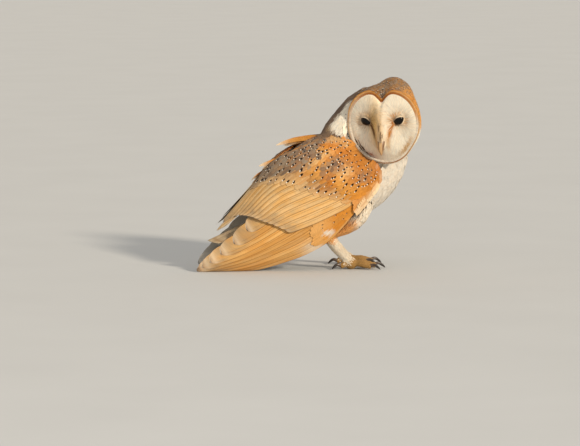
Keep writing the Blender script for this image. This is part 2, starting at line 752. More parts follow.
FEATHER = feather_material("Owl_Feather", 0.62, 0.9, 0.14, 0.8, 0.06)
DOWN = feather_material("Owl_Down", 0.5, 1.6, 0.1, 0.88, 0.08)
FLIGHT = feather_material("Owl_Flight", 0.8, 1.1, 0.1, 0.66, 0.04, UNDERWING)
SKIN = skin_material()
CLAW = horn_material("Owl_Claw", 0.3, 700)
BILL = horn_material("Owl_Bill", 0.42, 900)
EYE = eye_material()

# ---------------- skin


def ring_faces(count, around):
    """Squares between rings of points, each ring closed on itself, and the points' numbers by ring."""
    at = np.arange(count * around).reshape(count, around)
    turned = np.roll(at, -1, axis=1)
    return np.stack([at[:-1], turned[:-1], turned[1:], at[1:]], -1).reshape(-1, 4), at, turned


def grid_mesh(rings, start, end):
    """Points and triangles of a closed skin over rings of points, its ends closed onto two points."""
    count, around, _ = rings.shape
    body, at, turned = ring_faces(count, around)
    first, last = np.full(around, at.size), np.full(around, at.size + 1)
    caps = [np.stack([first, turned[0], at[0]], -1), np.stack([last, at[-1], turned[-1]], -1)]
    points = np.concatenate([rings.reshape(-1, 3), start[None], end[None]])
    return points, np.concatenate([body[:, [0, 1, 2]], body[:, [0, 2, 3]], *caps])


def fine_head():
    """The head's outside with its disc, far finer than the solid's."""
    angles = turn_in(144)
    rings = [face_point(q, angles) for q in np.linspace(0.04, 0.98, 26)]
    rings += [face_point(1.0, angles, -1.5), face_point(1.04, angles, 2)]
    rings += [skull_point(w, angles) for w in np.linspace(0.06, 0.97, 30)]
    return grid_mesh(np.array(rings), face_point(0.0, 0.0), np.array([-SKULL_BACK, 0.0, 0.0]))


def geometry_of(obj):
    obj.data.calc_loop_triangles()
    points = read(obj.data.vertices, "co", 3).astype(float)
    return points, read(obj.data.loop_triangles, "vertices", 3, np.int32)


def joined(parts):
    """Several meshes' points and faces, as one mesh's."""
    points, faces, count = [], [], 0
    for some_points, some_faces in parts:
        points.append(some_points)
        faces.append(some_faces + count)
        count += len(some_points)
    return np.concatenate(points), faces


def merged(nodes, voxel, rounds):
    """One closed surface round the head and the given nodes, remeshed and smoothed, as an object."""
    head, head_faces = fine_head()
    solids = [geometry_of(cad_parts[node]) for node in nodes]
    points, faces = joined([(to_row(from_head(head)), head_faces), *solids])
    faces = np.concatenate(faces)
    obj = mesh_from("form", points, faces.ravel(), np.full(len(faces), 3))
    remesh = obj.modifiers.new("remesh", "REMESH")
    remesh.mode = "VOXEL"
    remesh.voxel_size = voxel
    remesh.use_smooth_shade = True
    soften = obj.modifiers.new("soften", "SMOOTH")
    soften.factor = 0.5
    soften.iterations = rounds
    bpy.context.view_layer.update()
    evaluated = obj.evaluated_get(bpy.context.evaluated_depsgraph_get())
    mesh, old = bpy.data.meshes.new_from_object(evaluated), obj.data
    obj.modifiers.clear()
    obj.data = mesh
    bpy.data.meshes.remove(old)
    return obj


def form_of(obj):
    """The object's points, normals and faces with each point's region, and a tree to find places on it."""
    mesh = obj.data
    points = (read(mesh.vertices, "co", 3) - OFFSET) * 1000
    faces = read(mesh.loops, "vertex_index", 1, np.int32).reshape(-1, 4)
    normals = read(mesh.vertices, "normal", 3).astype(float)
    region = regions_of(points)
    points = under_coverts(full_throat(points, region), region, 0)
    tree = BVHTree.FromPolygons(points.tolist(), faces.tolist())
    return {"tree": tree, "points": points, "normals": normals, "faces": faces, "region": region}


def full_throat(points, region):
    """The points with the breast's feathers fuller where they rise to the face."""
    x, y, z = points.T
    fuller = THROAT_RISE * bell(z, 141, 14) * bell(y, -5, 30) * smooth(x, 40, 60)
    return points + np.outer(fuller * is_region(region, "trunk", "neck"), [1, 0, 0])


def under_coverts(points, region, depth):
    """The points with those on the wings pressed to a depth below the coverts' outside."""
    points = points.copy()
    for name, side in SIDES.items():
        here = is_region(region, f"wing_{name}_coverts")
        p = points[here]
        _, s, phi = wing_place(p)
        base = wing_point(side, s, phi, 0)
        out = wing_point(side, s, phi, 1) - base
        height = np.sum((p - base) * out, axis=1)
        points[here] = p - out * np.maximum(height - covert_top(s, phi) + depth, 0)[:, None]
    return points


PAIRS = ("thigh", "tarsus", "foot")
FLESH = ["trunk", "mantle", "neck"] + [f"{part}_{side}" for part in PAIRS for side in SIDES]
FLESH += [f"wing_{side}_coverts" for side in SIDES]
PLATES = [f"wing_{side}_{row}" for side in SIDES for row in ("secondaries", "primaries")] + ["tail"]
REGIONS = ["head", "facial_disc"] + FLESH + PLATES


def node_tree(node):
    points, faces = geometry_of(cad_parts[node])
    return BVHTree.FromPolygons(((points - OFFSET) * 1000).tolist(), faces.tolist())


NODE_TREES = [node_tree(name) for name in REGIONS]


def regions_of(points):
    """For each point of the bird's own frame, which of REGIONS it is nearest to."""
    best, region = np.full(len(points), 1e9), np.zeros(len(points), int)
    for index, tree in enumerate(NODE_TREES):
        low, high = (np.array(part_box(REGIONS[index])) - OFFSET) * 1000
        inside = np.all((points > low - 8) & (points < high + 8), axis=1)
        for i in np.flatnonzero(inside):
            distance = tree.find_nearest(points[i])[3]
            if distance < best[i]:
                best[i], region[i] = distance, index
    return region


def is_region(region, *starts):
    """Which of the regions are nodes whose names start so."""
    return np.isin(region, [i for i, name in enumerate(REGIONS) if name.startswith(starts)])


def marking(points, region):
    """The colour of skin and coat at points of the bird's own frame, and how grey feather tips are there."""
    colour, grey = body_colour(points), body_grey(points)
    head, face, neck, legs, thighs = (
        is_region(region, name) for name in ("head", "facial_disc", "neck", "tarsus", "thigh")
    )
    colour[head] = head_colour(to_head(points[head]))
    colour[face] = face_colour(to_head(points[face]))
    colour[neck] = neck_colour(points[neck])
    colour[legs] = mix(WHITE, CREAM, 0.5 + 0.4 * noise(points[legs], 6, 6))
    x, y, z = points[thighs].T
    outer = 0.9 * smooth(np.abs(y), 24, 36) * (1 - smooth(x + 0.6 * z, 22, 44))
    colour[thighs] = mix(mix(WHITE, CREAM, 0.5), mix(GOLD, BRIGHT_ORANGE, 0.6), outer)
    grey[head] = head_grey(to_head(points[head]))
    grey[is_region(region, "facial_disc", "neck", "tarsus", "thigh", "trunk", "foot")] = 0
    return colour, grey


# ---------------- unwrap for the bake map


def unwrap(points, region):
    """Each point's place on an unwrap of the skin: the head, body, wings and legs side by side."""
    uv = np.zeros((len(points), 2))
    x, y, z = points.T
    away = np.maximum(np.linalg.norm(to_head(points), axis=1), 1e-6)
    ahead, left, up = to_head(points).T
    polar, turn = 0.23 * np.arccos(np.clip(ahead / away, -1, 1)) / np.pi, np.arctan2(left, up)
    head = 0.25 + polar * np.sin(turn), 0.25 + polar * np.cos(turn)
    side, s, phi = wing_place(points)
    along = np.where(side < 0, 0.52, 0.76) + 0.22 * np.clip((s + 20) / 190, 0, 1)
    wing = along, 0.02 + 0.46 * np.clip((phi + 20) / 115, 0, 1)
    turn = np.arctan2(np.abs(y) - FOOT_OUT, x + 20)
    leg = np.where(side < 0, 0.64, 0.88) + 0.11 * turn / np.pi, 0.52 + 0.46 * np.clip(z / 125, 0, 1)
    turn = np.arctan2(y, (x + z - 110) * 0.7)
    body = 0.26 + 0.24 * turn / np.pi, 0.52 + 0.46 * np.clip((z + 0.5 * x + 10) / 260, 0, 1)
    for index, name in enumerate(REGIONS):
        here = region == index
        place = body
        if name in ("head", "facial_disc"):
            place = head
        elif name.startswith("wing"):
            place = wing
        elif name.startswith(PAIRS):
            place = leg
        uv[here] = np.stack(place, -1)[here]
    return uv


def unwrap_as(name, points):
    """The same for points that all lie by one node."""
    return unwrap(points, np.full(len(points), REGIONS.index(name)))


# ---------------- laying feathers on the form


def jitter(spread, *shape):
    """Random numbers about zero, as far apart as the spread."""
    return spread * (rng.random(shape) - 0.5)


# Small vanes: where their points lie along them and across them, and how wide two kinds of them are.
RINGS = np.array([0, 0.16, 0.38, 0.6, 0.8, 0.93, 1.0])
THREE = np.array([-1.0, 0, 1.0])
OUTLINE = np.array([0.45, 0.8, 1.0, 0.98, 0.82, 0.52, 0.12])
TAPERED = np.array([0.5, 0.85, 1.0, 0.86, 0.58, 0.32, 0.06])


def vane_points(lines, sides, ups, half, across, arch, rise=0.0):
    """Points of vanes along lines: half wide to each side, and arched by a share of that and a rise."""
    offset = half[..., None] * across
    lift = (arch * half[..., None] + rise) * (1 - across**2)
    return lines[:, :, None] + sides[:, :, None] * offset[..., None] + ups[:, :, None] * lift[..., None]


def drape(form, roots, flows, lengths):
    """Centre lines along the form: their points, normals and directions, as (feather, ring, 3)."""
    tracks = np.empty((3, len(roots), len(RINGS), 3))
    steps = np.diff(RINGS, prepend=0)
    for i, length in enumerate(lengths):
        at, way = Vector(roots[i]), Vector(flows[i])
        for k, step in enumerate(steps):
            at, _, face, _ = form["tree"].find_nearest(at + way * (step * length))
            up = Vector(form["normals"][form["faces"][face]].mean(0)).normalized()
            way = (way - up * way.dot(up)).normalized()
            tracks[:, i, k] = at, up, way
    return tracks


def lay(coat, form, roots, flows, lengths, widths, depths, lifts, tints, maps, outline, arch):
    """Adds a vane on each root, from inside the coat up to its outside at the tip."""
    lines, ups, ways = drape(form, roots, flows, lengths)
    sides = unit(np.cross(ways, ups))
    half = widths[:, None] / 2 * outline
    rise = lifts[:, None] * RINGS**2 - depths[:, None] * (1 - RINGS) ** 2.6
    points = vane_points(lines + ups * rise[..., None], sides, ups, half, THREE, arch, 0.15)
    coat.add(points, tints, lengths[:, None] * RINGS, half, maps)
    return points[:, :, 1], ups, sides


SPOTTED = {"mantle": (6.2, 1.8), "head": (3.0, 1.1), "thigh": (9, 1.1)}  # how far apart, how wide
SPECK_PARTS = [
    # colour; its start before the tip, length and width as shares of the width; how far above the vane
    (SPOT_DARK, 2.6, 1.7, 1.1, 0.12),
    (SPOT_LIGHT, 1.15, 0.7, 0.6, 0.3),
]


def specks(coat, chosen, rings, tracks, lengths, width, maps):
    """A dark spot near each chosen vane's tip, with a white one at the spot's outer end.
    tracks are the vanes' ridges with their up and sideways directions, as (feather, ring, 3)."""
    tracks, lengths, maps = [a[chosen] for a in tracks], lengths[chosen][:, None], maps[chosen]
    if not len(maps):
        return
    scale = width * (0.75 + 0.5 * rng.random((len(maps), 1)))
    row = np.arange(len(maps))[:, None]
    for index, (colour, before_tip, length, wide, lift) in enumerate(SPECK_PARTS):
        reach = scale * length * np.array([0, 0.25, 0.5, 0.75, 1.0])
        share = np.clip(1 - (scale * before_tip - reach) / lengths, 0.02, 0.99)
        i = np.searchsorted(rings, share, side="right") - 1
        t = ((share - rings[i]) / (rings[i + 1] - rings[i]))[..., None]
        place, ups, sides = (a[row, i] * (1 - t) + a[row, i + 1] * t for a in tracks)
        half = scale * wide / 2 * np.array([0.3, 0.85, 1.0, 0.85, 0.3])
        points = vane_points(place + lift * ups, sides, ups, half, THREE, 0, 0.12)
        coat.add(points, colour, reach, half, maps + np.array([1.1 * PATCH * (1 + index), 0]))


def before_disc(points, forward, share):
    """Whether places of the bird's own frame lie within that share of the disc, and so far forward."""
    x, y, z = np.moveaxis(to_head(points), -1, 0)
    return (x >= forward) & (on_disc(y, z)[1] <= share)


def clear_of_face(points):
    """Whether places of the bird's own frame don't stand in front of the disc or its rim."""
    return ~before_disc(points, 16, 1.02)


def clear_of_coverts(points):
    """Whether places of the bird's own frame don't lie under the shoulders' upper coverts."""
    _, s, phi = wing_place(points)
    return (covert_share(s, phi) < 0.05) | (phi < 25) | (phi > WING_TOP(s) - 5)


def is_spotted(points, region):
    """Where the coat carries spots: the back, the crown and the outside of the trousers."""
    x, y, z = points.T
    low = is_region(region, "head") & (to_head(points)[:, 2] < 10)
    white = is_region(region, "thigh") & ((np.abs(y) < 32) | (z < 60) | (x + 0.6 * z > 26))
    return ~(low | white | is_region(region, "mantle") & (x > 0))


def spaced(points, gaps):
    """Which points to keep, in their order, so that none is nearer than its gap to one kept before."""
    keys = np.floor(points / gaps.max()).astype(int).tolist()
    around = [(i, j, k) for i in (-1, 0, 1) for j in (-1, 0, 1) for k in (-1, 0, 1)]
    grid, kept = {}, []
    for n, (x, y, z) in enumerate(points.tolist()):
        a, b, c = keys[n]
        near = (p for i, j, k in around for p in grid.get((a + i, b + j, c + k), ()))
        limit = gaps[n] ** 2
        if all((px - x) ** 2 + (py - y) ** 2 + (pz - z) ** 2 >= limit for px, py, pz in near):
            grid.setdefault((a, b, c), []).append((x, y, z))
            kept.append(n)
    return np.array(kept, int)


def scatter(form, chosen, spacing, tries):
    """Points on the chosen faces of the form, none nearer to another than the spacing, and their faces."""
    corners = form["points"][form["faces"][chosen]]
    area = np.linalg.norm(np.cross(corners[:, 2] - corners[:, 0], corners[:, 3] - corners[:, 1]), axis=1)
    picks = rng.choice(len(corners), size=tries, p=area / area.sum())
    a, b = rng.random((2, tries, 1))
    c = corners[picks]
    points = (c[:, 0] * (1 - a) + c[:, 1] * a) * (1 - b) + (c[:, 3] * (1 - a) + c[:, 2] * a) * b
    kept = spaced(points, np.full(tries, spacing))
    return points[kept], picks[kept]


def feather_tints(colours, spread, edge):
    """Each vane's colour at its root, along it and at its tip, which edge makes lighter or darker."""
    n = len(colours)
    bright = 1 + jitter(spread, n, 1, 1, 1)
    warm = 1 + jitter(0.06, n, 1, 1, 1) * np.array([1.0, 0, -1.0])
    along = 0.88 + 0.12 * np.minimum(RINGS * 2.2, 1) + edge * smooth(RINGS, 0.75, 1.0)
    across = np.array([1.03, 0.98, 1.03])[:, None]
    return np.clip(colours[:, None, None] * bright * warm * along[:, None, None] * across, 0, 1)


def grey_tips(tints, rings, grey, spread):
    """The vanes' tints with their outer parts turned grey, each by its own amount about the given one."""
    n = len(tints)
    own = np.clip(grey + jitter(spread, n) * smooth(grey, 0.02, 0.3), 0, 1)
    shade = mix(GREY, DARK_GREY, rng.random(n) ** 2)
    shade = mix(shade, GREY_BROWN, 0.45 * rng.random(n))[:, None, None]
    share = own[:, None] * smooth(rings, 0.3, 0.62) * (1 - 0.25 * smooth(rings, 0.9, 1))
    return mix(tints, shade, share[..., None])


KINDS = {
    # node's start: its coat, and the feathers' spacing, length, width, depth, lift, arch and tries
    "head": ("head", 1.95, 7.5, 3.3, 2.8, 0.15, 0.12, 50000),
    "neck": ("neck", 2.4, 13, 4.8, 4.2, 0.15, 0.1, 26000),
    "mantle": ("back", 2.7, 17, 6.5, 4.2, 0.2, 0.1, 24000),
    "trunk": ("breast", 2.4, 14, 5.2, 4.2, 0.1, 0.06, 50000),
    "thigh": ("legs", 2.4, 13, 5.0, 4.2, 0.15, 0.1, 24000),
    "tarsus": ("legs", 1.6, 6.5, 2.1, 2.6, 0.2, 0.15, 20000),
}
FLOWS = {  # which way the coat runs on the nodes that start so
    "head": HEAD_TURNING @ np.array([-1.0, 0, -0.3]),
    "neck": (-0.55, 0, -1.0),
    "mantle": (-0.82, 0, -0.6),
    "thigh": (-0.55, 0, -0.85),
    "tarsus": (0.5, 0, -0.85),
}


def flows_at(points, region):
    """Which way the coat runs at each point, each a little off by chance."""
    share = smooth(points[:, 2], 90, 180)
    flow = mix(np.array([-1.0, 0, -0.35]), np.array([-0.35, 0, -1.0]), share)
    for start, way in FLOWS.items():
        flow[is_region(region, start)] = way
    return unit(flow + jitter(0.16, *points.shape))


# The same for long vanes, and the outline of loose ones.
LONG_RINGS = np.array([0, 0.12, 0.28, 0.45, 0.62, 0.76, 0.87, 0.94, 0.98, 1.0])
LONG_OUTLINE = np.array([0.35, 0.75, 0.92, 1.0, 1.0, 0.95, 0.8, 0.58, 0.34, 0.1])
LONG_END = through((0, 0.5), (0.3, 0.9), (0.6, 1), (0.85, 0.7), (0.95, 0.35), (1, 0.05))
ACROSS = np.array([-1, -0.55, -0.05, 0.05, 0.55, 1.0])


def contour_feathers(form):
    """The small body feathers, in one coat for each of the body's main regions."""
    face_region = form["region"][form["faces"][:, 0]]
    coats = {}
    for start, (name, spacing, length, width, depth, lift, arch, tries) in KINDS.items():
        chosen = is_region(face_region, start)
        roots, picks = scatter(form, chosen, spacing, tries)
        region = face_region[chosen][picks]
        size = 1 + jitter(0.25, len(roots))
        if start == "head":
            keep = ~before_disc(roots, 12, 0.98)
            roots, region, size = (a[keep] for a in (roots, region, size))
            size *= 0.72 + 0.4 * smooth(-to_head(roots)[:, 0], -24, 20)
        flows = flows_at(roots, region)
        if start != "head":
            ahead = roots + flows * (length * size)[:, None]
            keep = clear_of_face(ahead) & clear_of_face(roots)
            if start in ("trunk", "neck"):
                keep &= clear_of_coverts(ahead)
            roots, region, size, flows = (a[keep] for a in (roots, region, size, flows))
        tips = roots + flows * (length * size * 0.7)[:, None]
        colours, grey = marking(tips, region)
        white = start in ("trunk", "neck", "tarsus")
        tints = feather_tints(colours, 0.06 if white else 0.2, 0.03 if white else 0.08)
        tints = grey_tips(tints, RINGS, grey, 1.0)
        maps = unwrap(roots, region)
        coat = coats.setdefault(name, Plumage())
        sizes = [measure * size for measure in (length, width, depth, lift)]
        tracks = lay(coat, form, roots, flows, *sizes, tints, maps, TAPERED if white else OUTLINE, arch)
        if start in SPOTTED:
            gap, wide = SPOTTED[start]
            allowed = np.flatnonzero(is_spotted(tips, region))
            chosen = allowed[spaced(tips[allowed], gap * (0.85 + 0.5 * rng.random(len(allowed))))]
            specks(coat, chosen, RINGS, tracks, length * size, wide, maps)
    return coats


LIFTED = [
    # where a bunch of lifted feathers starts, where it ends, how many, how far it spreads
    ((-43, 5, 175), (-93, 3, 162), 7, 4.5),
    ((-82, 5, 148), (-119, 3, 134), 6, 3.5),
    ((-104, 5, 132), (-131, 3, 118), 4, 3.0),
]


def long_vanes(coat, roots, ways, lengths, bend, sides, ups, half, arch, tints, node):
    """Adds long vanes that run from their roots in straight ways, but for the bend."""
    reach = lengths[:, None] * LONG_RINGS
    lines = roots[:, None] + ways[:, None] * reach[..., None] + bend
    points = vane_points(lines, sides[:, None], ups[:, None], half, ACROSS, arch)
    coat.add(points, tints, reach, half, unwrap_as(node, roots))


def nearest(form, points):
    """The places on the form nearest to points."""
    return np.array([form["tree"].find_nearest(p)[0] for p in points])


def lifted_feathers(coat, form):
    """Long narrow feathers that the wind lifts off the left side of the back."""
    for start, end, count, spread in LIFTED:
        shift = rng.normal(size=(count, 3)) * spread * np.array([1.2, 0.8, 0.3])
        roots = nearest(form, np.array(start) + shift) - np.array([0, 0, 2.5])
        tips = np.array(end) + 0.6 * shift + rng.normal(size=(count, 3)) * spread * np.array([1, 0.4, 0.5])
        lengths = np.linalg.norm(tips - roots, axis=1)
        ways = unit(tips - roots)
        bend = 0.08 * lengths[:, None] * np.sin(np.pi * LONG_RINGS) * rng.random((count, 1))
        roll = np.radians(35 + 40 * rng.random(count))[:, None]
        sides = unit(np.cross(ways, [0, 0, 1.0]))
        ups = np.cross(sides, ways) * np.cos(roll) + sides * np.sin(roll)
        half = (2.2 + 0.8 * rng.random((count, 1))) * LONG_END(LONG_RINGS)
        tints = long_tints(mix(GOLD, GREY_BROWN, 0.5 * rng.random(count)), 0.2)
        tints = mix(tints, CREAM, (0.85 * smooth(LONG_RINGS, 0.55, 0.95))[:, None])
        bend = bend[..., None] * np.array([0, 0, 1.0])
        long_vanes(coat, roots, ways, lengths, bend, np.cross(ways, ups), ups, half, 0.2, tints, "mantle")


def side_feathers(coat, form, side):
    """Feathers from the breast's side to the wing's front edge, under it above and over it below."""
    count = 32
    s = 2 + 46 * (np.arange(count) + 0.5) / count + jitter(2, count)
    inner = np.arange(count) % 2
    tips = wing_point(side, s, LEADING_EDGE(s) + 3, 5.9 * smooth(s, 16, 36) - 2.5 - 0.5 * inner)
    ahead = tips + np.array([12, -side * 17, 13]) * (1 + 0.25 * inner)[:, None]
    tips = mix(tips, ahead, 0.22 * inner)
    roots = nearest(form, ahead)
    ways = unit(tips - roots)
    sides = unit(np.cross(ways, [0.6, side * 0.8, 0.15]))
    ups = np.cross(sides, ways)
    rise = 2.2 * np.sin(np.pi * LONG_RINGS) - 2 * (1 - LONG_RINGS) ** 2 + 0.4 * inner[:, None]
    half = 3.6 * LONG_OUTLINE * np.ones((count, 1))
    golden = smooth(s, 20, 40) * (1 - 0.6 * inner)
    tints = long_tints(mix(mix(WHITE, CREAM, 0.3), mix(CREAM, PALE_GOLD, 0.7), golden), 0.06)
    lengths, bend = np.linalg.norm(tips - roots, axis=1), ups[:, None] * rise[..., None]
    long_vanes(coat, roots, ways, lengths, bend, sides, ups, half, 0.1, tints, "trunk")


# ---------------- the wings' coverts and flight feathers

COVERT_ROWS = 18
COVERT_SPAN = 104  # millimetres round the wing that a row of them covers
SPOT_GAP = 18  # millimetres between the spots of a row, and half that in every other row


def covert_row(row):
    """How far back a row's tips lie, as a share of the coverts, and its feathers' length and width."""
    share = 0.05 + 1.0 * (row / (COVERT_ROWS - 1)) ** 1.1
    return share, 9 + 30 * share**1.4, 4.6 + 6.0 * share


def wing_vanes(side, s, phi, h, half, across, tilt, arch):
    """Points of vanes on a wing's sheet, whose centre lines are s, phi, h over (feather, ring).
    tilt lowers the vane's upper side, so that the next one lies on it. Any point that would sink
    below the floor, or near it, is pressed flat just above it."""
    degree = np.linalg.norm(wing_point(side, s, phi + 1, 0) - wing_point(side, s, phi - 1, 0), axis=-1) / 2
    spread = half[..., None] * across / degree[..., None]
    sink = arch * half[..., None] * (1 - across**2) - (tilt * np.ones_like(s))[..., None] * (across + 1) / 2
    ridge = 0.22 * (np.abs(across) < 0.1)
    s3 = np.broadcast_to(s[..., None], spread.shape)
    points = wing_point(side, s3, phi[..., None] + spread, h[..., None] + sink + ridge)
    z, low = points[..., 2], FLOOR_GAP
    points[..., 2] = np.where(z < 1, low + (1 - low) * np.exp(np.minimum(z - 1, 0) / (1 - low)), z)
    return points


def wing_row(side, s, phi, h, width, tilt, arch):
    """A row of long vanes on a wing: their points, half widths, places on the bake map, and tracks."""
    half = width / 2 * LONG_OUTLINE * np.ones_like(s)
    points = wing_vanes(side, s, phi, h, half, ACROSS, tilt * LONG_OUTLINE, arch)
    maps = unwrap_as("wing_right_coverts", wing_point(side, s[:, 3], phi[:, 3], 4))
    ups = unit(wing_point(side, s, phi, 1) - wing_point(side, s, phi, 0))
    tracks = points[:, :, 2:4].mean(2), ups, unit(points[:, :, -1] - points[:, :, 0])
    return points, half, maps, tracks


def run_up(s_tip, length):
    """Where long vanes run along the wing to their tips, and how far along themselves, by ring."""
    reach = LONG_RINGS * np.broadcast_to(length, s_tip.shape)[:, None]
    return reach + (s_tip - length)[:, None], reach


def covert_top(s, phi):
    """How far the coverts' outside stands off the sheet."""
    v = np.clip((phi - COVERT_LOW) / (WING_TOP(s) - COVERT_LOW), 0, 1)
    u = (s - COVERT_FRONT(phi)) / (COVERT_END(v) - COVERT_FRONT(phi))
    hump = 3.2 + 4.5 * np.sin(np.pi * np.clip(u + 0.12, 0, 1)) * np.sin(np.pi * v)
    end = smooth(u, 0.66, 1.02)
    return hump * (1 - end) - 0.55 * end


def covert_rows(coat, side):
    """The wing's coverts, in rows whose tips overlap like tiles."""
    for row in range(COVERT_ROWS):
        share, length, width = covert_row(row)
        count = round(COVERT_SPAN / (0.6 * width))
        v = (np.arange(count) + 0.5 + 0.5 * (row % 2)) / (count + 0.3)
        v = np.clip(v + jitter(0.4 / count, count), 0.01, 0.99)
        s_tip = np.full(count, 80.0)
        for _ in range(3):
            phi_tip = COVERT_LOW + (WING_TOP(s_tip) - COVERT_LOW) * v
            s_tip = COVERT_FRONT(phi_tip) + (COVERT_END(v) - COVERT_FRONT(phi_tip)) * share
        s_tip += jitter(2 + 2.5 * share, count)
        lengths = length * (1 + jitter(0.15, count)) * (0.8 + 0.3 * v)
        s, reach = run_up(s_tip, lengths)
        drift = 4 * min(1, length / 30) * (1 - v)[:, None] * (1 - LONG_RINGS)
        phi = phi_tip[:, None] + drift + jitter(3, count, 1) * LONG_RINGS
        h = covert_top(s, phi) - 3.8 * (1 - LONG_RINGS) ** 2.2 + 0.3
        points, half, maps, tracks = wing_row(side, s, phi, h, width, 0.05 * width, 0.06)
        where = wing_point(side, s_tip - 3, phi_tip, 0)
        grey = body_grey(where) * (1 - 0.5 * smooth(share, 0.9, 1.05))
        end = 0.6 * smooth(share, 0.88, 1.05)
        colours = mix(body_colour(where), mix(GREY_BEIGE, PALE_GOLD, 0.35), end)
        tints = grey_tips(long_tints(colours, 0.14), LONG_RINGS, grey, 0.7)
        clear = clear_of_face(points[:, -1].mean(1))
        coat.add(*(a[clear] for a in (points, tints, reach, half, maps)))
        step = max(1, round(SPOT_GAP / (2 - row % 2) * count / COVERT_SPAN))
        chosen = (np.arange(count) + row) % step == 0
        chosen |= (grey > 0.45) & (rng.random(count) < 0.25)
        chosen &= (phi_tip > -6) & (0.08 < share < 1.0) & clear
        specks(coat, chosen, LONG_RINGS, tracks, lengths, 1.8 + 0.6 * share, maps)


# How far along the wing the tips lie at its leading edge and above, and the feathers' length, width
# and number.
PRIMARY_COVERT_ROWS = [
    (50, 36, 30, 9.0, 9),
    (70, 54, 36, 9.5, 10),
    (90, 72, 42, 10.0, 10),
    (106, 90, 46, 10.0, 10),
    (120, 106, 50, 10.5, 11),
]


def primary_coverts(coat, side):
    """The smooth orange feathers over the primaries' roots, from the leading edge to the secondaries."""
    pale = mix(GOLD, PALE_GOLD, 0.25)
    for low_tip, high_tip, length, width, count in PRIMARY_COVERT_ROWS:
        v = (np.arange(count) + 0.2) / (count - 0.2)
        s_tip = low_tip + (high_tip - low_tip) * v + jitter(7, count)
        s, reach = run_up(s_tip, length)
        low = LEADING_EDGE(s) + 2.5
        phi = low + (SECONDARY_LOW(s) + 4 - low) * v[:, None]
        h = -3.9 + 5.2 * (1 - smooth(s, 12, 90)) - 2.5 * (1 - LONG_RINGS) ** 2.2
        points, half, maps, tracks = wing_row(side, s, phi, h, width, 0.5, 0.06)
        colours = mix(mix(BRIGHT_ORANGE, GOLD, 0.2 + 0.5 * rng.random(count)), pale, smooth(s_tip, 90, 120))
        white = 1 - smooth(np.abs(phi + 28 - 0.3 * (s - 93)), 2.2, 3.8)
        white *= 1 - smooth(np.abs(s - 93), 5, 8)
        back = 0.85 * smooth(s, 72, 104) * smooth(phi, -27, -18)
        layers = (mix(GOLD, PALE_GOLD, 0.35), back[..., None]), (WHITE, 0.9 * white[..., None])
        coat.add(points, layered(long_tints(colours, 0.1), *layers), reach, half, maps)
        chosen = (rng.random(count) < 0.35) & (white.max(axis=1) < 0.3) & (s_tip < 102)
        specks(coat, chosen, LONG_RINGS, tracks, reach[:, -1], 1.1, maps)


# How far along the wing the tips lie, how far above its edge the row begins, and the feathers' length
# and number.
FLANK_ROWS = [(20, 8, 18, 6), (31, 12, 20, 8), (42, 12, 22, 8), (53, 11, 24, 7)]


def flank_feathers(coat, side):
    """Soft feathers of the flank that lie over the front of the wing's lower edge."""
    for end, above, length, count in FLANK_ROWS:
        v = (np.arange(count) + 0.5) / count
        s_tip = end + jitter(3, count) - 3 * v
        s, reach = run_up(s_tip, length)
        phi = LEADING_EDGE(s) - 3 + (above + 3) * v[:, None]
        h = 1.6 + 3.2 * (1 - smooth(s, 0, 60)) - 3.2 * (1 - LONG_RINGS) ** 2.2
        points, half, maps, _ = wing_row(side, s, phi, h, 6.8, 0.3, 0.08)
        golden = smooth(v + jitter(0.25, count), 0.0, 0.6)
        colours = mix(mix(CREAM, PALE_GOLD, 0.4), mix(PALE_GOLD, ORANGE, 0.75), golden)
        coat.add(points, long_tints(colours, 0.08), reach, half, maps)


def long_tints(colours, spread):
    """The colours of long vanes from root to tip and across, each as bright as chance has it."""
    bright = 1 + jitter(spread, len(colours), 1, 1, 1)
    along = 0.9 + 0.1 * np.minimum(LONG_RINGS * 2, 1) + 0.07 * smooth(LONG_RINGS, 0.85, 1)
    across = np.array([1.05, 1.0, 0.93, 0.93, 0.98, 1.02])[:, None]
    return np.clip(colours[:, None, None] * bright * along[:, None, None] * across, 0, 1)


FLIGHT_RINGS = np.concatenate([np.linspace(0, 0.8, 20), [0.85, 0.89, 0.925, 0.95, 0.97, 0.985, 1.0]])
FLIGHT_ACROSS = np.array([-1, -0.88, -0.7, -0.56, -0.49, -0.42, -0.1, 0.4, 1.0])
SHAFT = -0.49  # where a flight feather's shaft runs across it


def flight_maps(side, s, phi):
    """Where on the bake map flight feathers have their patches, from their places on the wing's sheet."""
    u = np.where(side < 0, 0.52, 0.76) + 0.22 * (s + 20) / 300
    return np.stack([u, 0.02 + 0.46 * np.clip((phi + 60) / 150, 0, 1)], -1)


def flight_row(coat, side, count, low, high, end, start, widths, level, web, paint):
    """A row of flight feathers, each one's lower side on top and its upper side under the next.
    web widens the upper sides."""
    v = (np.arange(count) + 0.5) / count
    length = end(v) - start(v)
    reach = FLIGHT_RINGS * length[:, None]
    s = start(v)[:, None] + reach
    phi = low(s) + (high(s) - low(s)) * v[:, None]
    round_tip = np.sqrt(np.clip(1 - ((FLIGHT_RINGS - 0.9) / 0.1).clip(0) ** 2, 0.02, 1))
    root = 0.55 + 0.45 * smooth(FLIGHT_RINGS, 0, 0.3)
    taper = 1 - 0.12 * smooth(FLIGHT_RINGS, 0.6, 0.95)
    half = widths(v)[:, None] / 2 * round_tip * root * taper
    share_high = smooth(FLIGHT_RINGS, 0.0, 0.15)
    h = level + 0 * s - 1.2 * (1 - share_high)
    across = np.where(FLIGHT_ACROSS > 0, web * FLIGHT_ACROSS, FLIGHT_ACROSS)
    points = wing_vanes(side, s, phi, h, half, across, 0.8 * share_high, 0.012)
    coat.add(points, paint(FLIGHT_RINGS, v, s, phi), reach, half, flight_maps(side, s[:, 2], phi[:, 2]))


